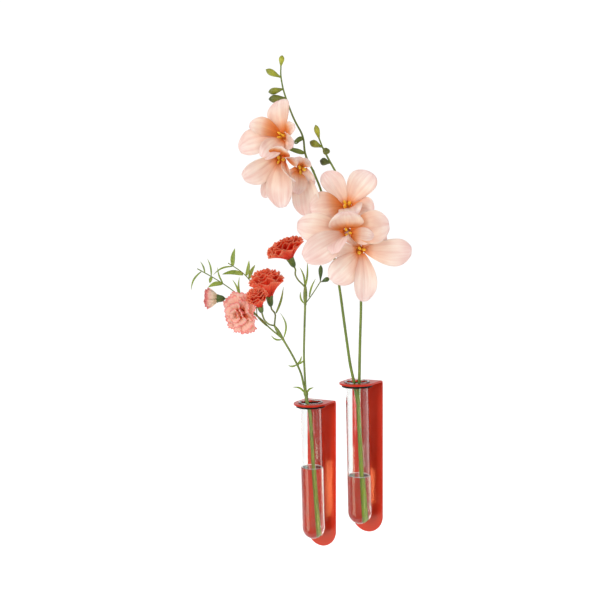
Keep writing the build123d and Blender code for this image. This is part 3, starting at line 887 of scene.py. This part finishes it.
# Knuckles: place, direction and radius of the stem
carnation_knuckles = (
    (fork, (-0.1, 0.1, 1), STEM_RADIUS),
    (high_node, (0, 0, 1), BRANCH_RADIUS),
    (high_tip, (-0.2, 0, 1), BRANCH_RADIUS),
    (side_node, (-0.4, 0, 1), BRANCH_RADIUS),
    (low_node, (-0.5, 0, 1), BRANCH_RADIUS),
    (elbow, (-0.2, 0, 1), STALK_RADIUS),
    (twig_node, (-0.7, 0, 0.7), STALK_RADIUS),
    (green_bud_node, (0.6, 0, 1), TWIG_RADIUS),
)

# Sheaths that wrap a stem: both ends and the largest radius
carnation_sheaths = (
    (high_node, (-2.8, 2.0, 130.0), 2.3),
    (low_node, elbow, 2.1),
    ((-45, -3.5, 86), twig_node, 1.5),
    (fork, (-6.2, -5.2, 17), 1.9),
)

# Each leaf: root, tip, width and bend. Those on sheaths have their root at the surface.
twig_leaves = (
    ((-118, 4, 149.2), (-130, 3, 128), 1.5, 0.12),
    ((-114, 4, 147), (-119, 4, 160), 1.3, 0.08),
    ((-107, 4, 143), (-111, 4, 163), 1.4, 0.08),
    ((-107, 4, 143), (-109, 3, 135.5), 3.0, 0.0),
    ((-94.5, 4, 135), (-111, 2, 131), 4.0, 0.10),
    ((-94.5, 4, 135), (-100, 4, 153), 1.4, -0.06),
    ((-77, 4.5, 121.5), (-84, 5, 139), 1.5, 0.08),
    ((-75.5, 4.5, 120), (-76, 6, 142), 1.5, -0.06),
    ((-84, 14, 154), (-81, 15, 174), 4.0, -0.04),
    ((-84, 14, 154), (-106, 12, 144.5), 1.5, 0.12),
    ((-71.8, 13.5, 144.6), (-96, 12, 145), 4.2, 0.10),
    ((-69, 14, 142.4), (-65.5, 15, 160), 3.2, 0.05),
    ((-66, 14, 139), (-58.5, 15, 155), 3.2, -0.06),
)
branch_leaves = (
    (side_node, (-24, -6, 43), 1.6, -0.14),
    (side_node, (-9, -3, 53), 1.6, 0.10),
    (side_node, (-6, -5, 49), 1.5, 0.08),
    (high_tip, (0, 4.5, 157), 1.6, 0.04),
    (fork, (-20, -8, 19), 1.7, 0.18),
    (fork, (4, -7, 18), 1.7, -0.16),
)
sheath_leaves = (
    ((-36.0, 0.4, 100.6), (-27, -2, 130), 1.9, 0.05),
    ((-28.0, -5.2, 73.6), (-31, -6, 101), 1.5, 0.16),
    ((-30.6, -5.3, 71.4), (-42, -8, 77), 1.5, -0.16),
    ((-5.0, 1.1, 110.8), (-8, 1.5, 124), 1.5, -0.14),
    ((-3.3, 3.2, 129.4), (-8.5, 4, 151), 1.6, 0.08),
    ((1.3, 1.9, 117.6), (9, 1.5, 138), 1.5, -0.06),
)
leaf_groups = ((TWIG_RADIUS, twig_leaves), (BRANCH_RADIUS, branch_leaves), (0.0, sheath_leaves))

# Closed buds: place, tip and radius
green_buds = (
    ((14.15, 5.0, 135.1), (15, 6, 153), 2.2),
    ((15.2, 5.0, 134.0), (24.5, 5, 138), 2.4),
)


def dress_carnations():
    """Stem, leaves, heads and buds of the carnation spray."""
    rng = random.Random(3)
    stem = Skin()
    for radius, *points in carnation_shoots:
        shoot(stem, points, radius, tint=rng.random())
    for point, direction, radius in carnation_knuckles:
        swelling(stem, point, direction, radius * KNUCKLE_SWELL, tint=rng.random())
    for start, end, radius in carnation_sheaths:
        start, end = Vector(start), Vector(end)
        stretch = SHEATH_REACH * (end - start).length / radius
        swelling(stem, start.lerp(end, 0.5), end - start, radius, stretch, rng.random())
    for name, shape in carnation_heads.items():
        mouth, direction, radius, height, mouth_radius, length, rings, material = shape
        ahead = Vector(direction).normalized()
        end = Vector(mouth) - ahead * (length - STALK_OVERLAP)
        stalk = (*carnation_stalks[name], end - ahead * STALK_LEAD, end)
        shoot(stem, stalk, STALK_RADIUS, tint=rng.random())
        head = Skin()
        carnation_head(head, mouth, direction, radius, height, mouth_radius, rings, rng)
        slot = "coral_petal" if material is coral_petal else "pink_petal"
        head.piece(f"{name}_ruffles", *CARNATION, [f"{name}_petals"], slot, material, SHEET_THICKNESS)
        cup = Skin()
        carnation_calyx(cup, mouth, direction, mouth_radius, length, STALK_RADIUS, rng.random())
        cup.piece(f"{name}_cup", *CARNATION, [f"{name}_calyx"], "carnation_green", calyx_green)
    stem.piece("carnation_stalks", *CARNATION, ["carnation_stem"], "carnation_green", carnation_green)
    leaves = Skin()
    for clear, group in leaf_groups:
        for root, tip, width, bend in group:
            leaf(leaves, root, tip, width, bend, clear, rng)
    look = ("carnation_green", leaf_green, SHEET_THICKNESS)
    leaves.piece("carnation_blades", *CARNATION, ["carnation_leaves"], *look)
    buds = Skin()
    for point, tip, radius in green_buds:
        bud(buds, point, tip, radius, TWIG_RADIUS, rng.random())
    buds.piece("carnation_green_buds", *CARNATION, ["green_buds"], "carnation_green", calyx_green)


# Freesia spray, in the frame of the right tube

FREESIA_FOOT_RADIUS = 2.4
FREESIA_FORK_RADIUS = 2.2
FREESIA_RADIUS = 1.65
SPIKE_FOOT_RADIUS = 1.1
SPIKE_RADIUS = 1.0
SPIKE_TIP_RADIUS = 0.75
SPIKE_SWELL = 1.35
FORK_SWELL = 2.0
FORK_STRETCH = 2.5
FLOWER_STALK_RADIUS = 0.8
BRACT_WIDTH = 4.0
BRACT_OVERLAP = 2.0
FUNNEL_LENGTH = 18.0
FUNNEL_RIM = 4.0
FUNNEL_FOOT = 1.9
FUNNEL_FLOOR = 3.0
FUNNEL_WALL = 0.4
FUNNEL_FOLDS = 0.05
PETAL_SINK = -0.6
FREESIA_CALYX_LENGTH = 4.0
FREESIA_CALYX = ((FLOWER_STALK_RADIUS, -0.2), (1.5, 1.2), (2.0, 3.0), (2.25, 5.2), (2.1, 5.8))
STAMEN_LENGTH = 21.5
STAMEN_SPLAY = 7.0
STAMEN_RING = 0.75
STAMEN_GAP = 0.15
FILAMENT_FOOT = 0.32
FILAMENT_RADIUS = 0.3
ANTHER_LENGTH = 8.0
ANTHER_RADIUS = 1.3
ANTHER_TIP = 0.1
freesia_foot = (4.2, 1.5, -149.05)
freesia_merge = (0.4, -7.0, -26.0)
tall_lip = (-3.78, -8.5, 2.0)
short_lip = (1.77, -9.13, 2.0)
tall_stem_top = (-42, -25, 222)
short_stem_top = (-16, -16, 217)

# Stems: first and last radius, and points
freesia_shoots = (
    (FREESIA_FOOT_RADIUS, FREESIA_FORK_RADIUS, freesia_foot, freesia_merge),
    (
        FREESIA_RADIUS, SPIKE_FOOT_RADIUS, freesia_merge, tall_lip, (-7.4, -9.3, 19), (-12, -11, 57),
        (-17.6, -13, 107), (-25.8, -17, 155), (-33.5, -22, 201), tall_stem_top,
    ),
    (
        FREESIA_RADIUS, SPIKE_FOOT_RADIUS, freesia_merge, short_lip, (3.2, -9.6, 42), (5.7, -9.2, 88),
        (4.8, -9, 130), (-2, -11, 172), short_stem_top,
    ),
    (
        SPIKE_FOOT_RADIUS, SPIKE_TIP_RADIUS, tall_stem_top, (-50.5, -22, 240), (-51, -23, 258),
        (-60, -24, 274), (-66, -24.5, 290), (-71, -25.3, 306), (-73, -25, 320), (-72.5, -25.4, 329),
    ),
    (
        SPIKE_FOOT_RADIUS, SPIKE_TIP_RADIUS, short_stem_top, (-27, -19, 237), (-32, -20.3, 247),
        (-35, -20.5, 255.5),
    ),
)

# Each blossom: joint on the stem, throat, direction, turn of the first petal, and its petals.
# Each petal: tip, width, glow and roll.
blossoms = {
    "lower_top_blossom": (
        (-1.8, -11, 171), (-9, -35, 185), (-0.15, -0.85, 0.5), -5,
        ((15, -47, 178), 19, 1.8, 0), ((16, -32, 217), 24, 1.1, 10), ((-30, -30, 219), 19, 0.9, 0),
        ((-45, -46, 182), 25, 2.4, -15), ((-32, -42, 171), 18, 1.2, 0), ((-5, -62, 174), 20, 1.6, 0),
    ),
    "lower_front_blossom": (
        (1.5, -10, 151), (-10, -46, 158), (-0.1, -0.98, -0.1), 30,
        ((29, -56, 164), 27, 2.2, 0), ((-13, -64, 176), 28, 2.4, 0), ((-58, -54, 165), 24, 1.5, 0),
        ((-52, -60, 133), 25, 0.8, 0), ((-23, -68, 138), 19, 0.4, 62), ((14, -57, 152), 14, 2.2, 0),
    ),
    "lower_right_blossom": (
        (4.5, -9.1, 134), (3, -41, 140), (0.2, -0.95, -0.2), 0,
        ((53, -40, 137), 23, 1.0, 0), ((29, -34, 156), 18, 1.0, 0), ((-4, -38, 161), 22, 1.0, 0),
        ((-21, -39, 138), 18, 1.0, 0), ((-26, -46, 111), 25, 1.0, 0), ((6, -41, 90), 20, 0.9, 0),
    ),
    "upper_left_blossom": (
        (-51, -23, 257), (-72, -43, 255), (-0.5, -0.8, 0.15), 30,
        ((-60, -54, 262), 12, 3.0, 0), ((-74, -35, 292), 22, 1.4, 0), ((-103, -50, 266), 15, 3.2, 20),
        ((-114, -49, 243), 24, 1.2, 0), ((-91, -62, 232), 17, 1.4, -30), ((-62, -60, 244), 14, 2.0, 30),
    ),
    "upper_front_blossom": (
        (-50.5, -22, 241), (-74, -52, 232), (-0.2, -0.75, -0.6), 55,
        ((-59, -64, 229), 16, 4.0, 40), ((-73, -66, 240), 17, 6.0, 0), ((-110, -57, 213), 21, 1.3, 0),
        ((-92, -42, 196), 12, 0.7, 0), ((-75, -58, 185), 22, 1.2, 0), ((-62, -70, 208), 13, 1.8, 50),
    ),
    "upper_right_blossom": (
        (-46.5, -23.4, 232), (-55, -40, 223), (0.1, -0.8, -0.55), 50,
        ((-47, -42, 231), 10, 1.6, 0), ((-58, -48, 233), 11, 2.0, 0), ((-69, -40, 213), 11, 1.8, 0),
        ((-60, -52, 198), 15, 2.0, 0), ((-50, -37, 178), 22, 0.9, 0), ((-44, -40, 205), 10, 1.0, 0),
    ),
}

# Buds of the spikes: place on the stem, tip, radius and tone, from yellow at 0 to dark olive at 1
tall_spike_buds = (
    ((-72.5, -25.4, 329), (-71, -25.5, 340), 2.4, 0.0),
    ((-73, -25, 318), (-88, -26, 326), 2.9, 0.2),
    ((-70.5, -25.3, 306.1), (-86, -26, 303), 3.0, 0.5),
    ((-67.5, -24.8, 297), (-86, -26, 296), 3.6, 0.8),
)
short_spike_buds = (
    ((-35, -20.5, 255.5), (-38.5, -21, 270), 2.5, 0.0),
    ((-32.5, -20.3, 247.2), (-45, -21, 253), 3.4, 0.4),
    ((-29, -19.6, 241), (-28, -26, 243), 3.4, 0.7),
    ((-24, -18.3, 231), (-35, -19, 233.5), 3.6, 1.0),
)


def rim_frame(throat, direction):
    """Frame at a throat: z along the blossom's axis, and x as near to the across direction as can be."""
    axis = Vector(direction).normalized()
    x = (Vector((1, 0, 0)) - axis * axis.x).normalized()
    turn = Matrix((x, axis.cross(x), axis)).transposed().to_4x4()
    return Matrix.Translation(Vector(throat)) @ turn


def funnel(place, tint):
    """Throat of a blossom, which widens from the calyx to the petals."""
    rows = []
    for share in shares(steps=14):
        radius = FUNNEL_FOOT + (FUNNEL_RIM - FUNNEL_FOOT) * share**1.6
        row = []
        for angle in turns(count=36):
            reach = radius * (1 + FUNNEL_FOLDS * share * cos(6 * angle))
            row.append(place @ polar(reach, angle, (share - 1) * FUNNEL_LENGTH))
        rows.append(row)
    skin = Skin()
    skin.add(rows, closed=True, tint=tint)
    return skin


def stamens(skin, place, rng):
    """Three filaments from the floor of the funnel, each with a long anther."""
    shoulder = STAMEN_LENGTH - ANTHER_LENGTH
    outline = [(FILAMENT_FOOT, 0.0), (FILAMENT_RADIUS, shoulder)]
    for share in shares(steps=14)[1:-1]:
        radius = FILAMENT_RADIUS + ANTHER_RADIUS * sin(pi * share) ** 0.7
        outline.append((radius, shoulder + ANTHER_LENGTH * share))
    outline.append((ANTHER_TIP, STAMEN_LENGTH))
    foot = Matrix.Translation((STAMEN_RING, 0, FUNNEL_FLOOR + STAMEN_GAP - FUNNEL_LENGTH))
    splay = Matrix.Rotation(radians(STAMEN_SPLAY), 4, "Y")
    for angle in turns(3):
        spread = Matrix.Rotation(angle + rng.uniform(-0.3, 0.3), 4, "Z")
        turned(skin, place @ spread @ foot @ splay, outline, 14, ridges=2, ridge=0.2, tint=rng.random())


def dress_freesias():
    """Stem, blossoms and buds of the freesia spray."""
    rng = random.Random(11)
    stem = Skin()
    for radius, end_radius, *points in freesia_shoots:
        shoot(stem, points, radius, end_radius, tint=rng.random())
    swelling(stem, freesia_merge, (0, 0, 1), FORK_SWELL, FORK_STRETCH)
    for point in (tall_stem_top, short_stem_top):
        swelling(stem, point, (-0.4, 0, 1), SPIKE_SWELL)
    calyxes, all_stamens = Skin(), Skin()
    for name, (joint, throat, direction, first_turn, *tips) in blossoms.items():
        axis = Vector(direction).normalized()
        end = Vector(throat) - axis * (FUNNEL_LENGTH + FREESIA_CALYX_LENGTH)
        shoot(stem, (joint, end - axis * STALK_LEAD, end), FLOWER_STALK_RADIUS, tint=rng.random())
        place = rim_frame(throat, direction)
        flower = Skin()
        for turn, (tip, width, glow, roll) in zip(turns(len(tips)), tips):
            foot = polar(FUNNEL_RIM, radians(first_turn) + turn, PETAL_SINK)
            petal(flower, place @ foot, tip, direction, width, glow, roll, rng)
        look = ("freesia_petal", freesia_petal, SHEET_THICKNESS)
        flower.piece(f"{name}_flower", *FREESIA, [f"{name}_petals"], *look)
        look = ("freesia_throat", freesia_throat, FUNNEL_WALL)
        funnel(place, rng.random()).piece(f"{name}_throat", *FREESIA, [f"{name}_funnel"], *look)
        stamens(all_stamens, place, rng)
        back = place @ Matrix.Translation((0, 0, -FUNNEL_LENGTH - FREESIA_CALYX_LENGTH))
        turned(calyxes, back, FREESIA_CALYX, 24, ridges=4, ridge=0.06, tint=rng.random())
        if name.startswith("upper"):
            leaf(stem, joint, end + axis * BRACT_OVERLAP, BRACT_WIDTH, 0.0, SPIKE_RADIUS, rng)
    calyxes.piece("freesia_bracts", *FREESIA, ["freesia_calyxes"], "freesia_green", calyx_green)
    all_stamens.piece("freesia_anthers", *FREESIA, ["freesia_stamens"], "stamen_yellow", stamen_yellow)
    stem.piece("freesia_stalks", *FREESIA, ["freesia_stem"], "freesia_green", freesia_green)
    for name, places in (("tall_spike", tall_spike_buds), ("short_spike", short_spike_buds)):
        buds = Skin()
        for point, tip, radius, tone in places:
            bud(buds, point, tip, radius, FLOWER_STALK_RADIUS, tone)
        buds.piece(f"{name}_closed_buds", *FREESIA, [f"{name}_buds"], "bud_green", bud_green)


dress_carnations()
dress_freesias()


# Stage, light and camera, in metres

FLOOR_HEIGHT = -0.45
FLOOR_FRONT = -0.3
FLOOR_REACH = 12.0
CAMERA_PLACE = Vector((0.40703, -0.69792, 0.20113))
CAMERA_AIM = Vector((-0.022457, -0.020, 0.20113))
CAMERA_LENS = 42.317
CAMERA_SHIFT = (0.0063, -0.0065)
SENSOR_WIDTH = 36.0
BEFORE_EDGE = -0.4
BEHIND_EDGE = 0.6
GLINT_DISTANCE = 0.16
GLINT_SPREAD = 1.5
GLINT_COLOUR = (0.14, 1.0, 2.5)
CARD_COLOUR = (0.8, 1.3, 1.0)


def pale_floor():
    """Wide white floor, far below the tubes. It begins near them, so that the glass doesn't mirror it."""
    mesh = bpy.data.meshes.new("floor")
    near, far = FLOOR_FRONT, FLOOR_REACH
    corners = ((-far, near), (far, near), (far, far), (-far, far))
    mesh.from_pydata([(x, y, FLOOR_HEIGHT) for x, y in corners], [], [(0, 1, 2, 3)])
    paint = Paint("pale_floor", Roughness=0.9, Emission_Color=WHITE, Emission_Strength=0.55)
    grain = paint.noise(scale=40.0, detail=3.0)
    paint.feed("Base Color", paint.ramp(grain, (0.3, rgb(246, 246, 246)), (0.7, rgb(250, 250, 250))))
    mesh.materials.append(paint.made)
    floor = add_object("floor", mesh)


def white_world(seen, behind, before):
    """White to look at. As a light it is brighter behind the object than before it."""
    world = bpy.data.worlds.new("studio")
    bpy.context.scene.world = world
    world.use_nodes = True
    tree = world.node_tree
    back = tree.nodes["Background"]
    back.inputs["Color"].default_value = WHITE
    direction = add_node(tree, "TexCoord", {}, "Generated")
    inputs = {0: direction, 1: (CAMERA_AIM - CAMERA_PLACE).normalized()}
    facing = add_node(tree, "VectorMath", inputs, "Value", operation="DOT_PRODUCT")
    inputs = {"From Min": BEFORE_EDGE, "From Max": BEHIND_EDGE, "To Min": before, "To Max": behind}
    lighting = add_node(tree, "MapRange", {"Value": facing, **inputs})
    first_look = add_node(tree, "LightPath", {}, "Is Camera Ray")
    strength = add_node(tree, "Mix", {0: first_look, 2: lighting, 3: seen})
    tree.links.new(strength, back.inputs["Strength"])


def add_aimed(name, data, place, target):
    """Light or camera at a place, turned to a target."""
    made = add_object(name, data)
    made.location = place
    made.rotation_euler = (Vector(target) - Vector(place)).to_track_quat("-Z", "Y").to_euler()
    return made


def softbox(name, place, target, width, height, power):
    """Rectangular soft light."""
    light = bpy.data.lights.new(name, "AREA")
    light.shape = "RECTANGLE"
    light.size = width
    light.size_y = height
    light.energy = power
    made = add_aimed(name, light, place, target)
    made.visible_camera = False
    return made


def shine_through_glass(light):
    """Clear glass and water throw no shadow in this light."""
    group = bpy.data.collections.new(f"{light.name}_passes")
    for piece in clear_pieces:
        group.objects.link(piece)
    light.light_linking.blocker_collection = group
    for entry in group.collection_objects:
        entry.light_linking.link_state = "EXCLUDE"


def glint(name, spot, turn, length, width, strength):
    """Narrow beam that puts the streak of light on a plate.

    It comes from a turn to the right of straight ahead, and its spot, length and width are in millimetres.
    """
    ahead = Matrix.Rotation(radians(turn), 3, "Z") @ Vector((0, -GLINT_DISTANCE, 0))
    size = (width * MM, length * MM)
    beam = softbox(name, spot * MM + ahead, spot * MM, *size, strength * size[0] * size[1])
    beam.data.spread = radians(GLINT_SPREAD)
    beam.data.color = GLINT_COLOUR


pale_floor()
white_world(seen=1.05, behind=1.0, before=0.3)
softbox("overhead_softbox", (-0.40, -0.90, 1.60), (-0.02, -0.04, 0.25), width=0.8, height=0.8, power=3.0)
softbox("front_softbox", (-0.12, -2.0, 0.40), (0.0, -0.03, 0.12), width=0.6, height=1.3, power=21.0)
side = softbox("side_softbox", (1.47, -1.03, 0.35), (0.0, -0.03, 0.12), width=0.35, height=1.3, power=9.5)
shine_through_glass(side)
card = softbox("low_card", (-0.50, -0.95, -0.46), (0.03, 0.0, -0.07), width=0.6, height=0.35, power=2.2)
card.data.color = CARD_COLOUR
glint("left_glint", Vector((11.0, -3.0, -16.5)), turn=39.0, length=62.0, width=6.0, strength=29.0)
glint("right_glint", Vector((64.9, -3.0, -6.0)), turn=58.0, length=37.0, width=3.0, strength=51.0)

# Camera of the photo
lens = bpy.data.cameras.new("camera")
lens.lens = CAMERA_LENS
lens.sensor_width = SENSOR_WIDTH
lens.shift_x, lens.shift_y = CAMERA_SHIFT
bpy.context.scene.camera = add_aimed("camera", lens, CAMERA_PLACE, CAMERA_AIM)
bpy.context.scene.view_settings.view_transform = "Standard"
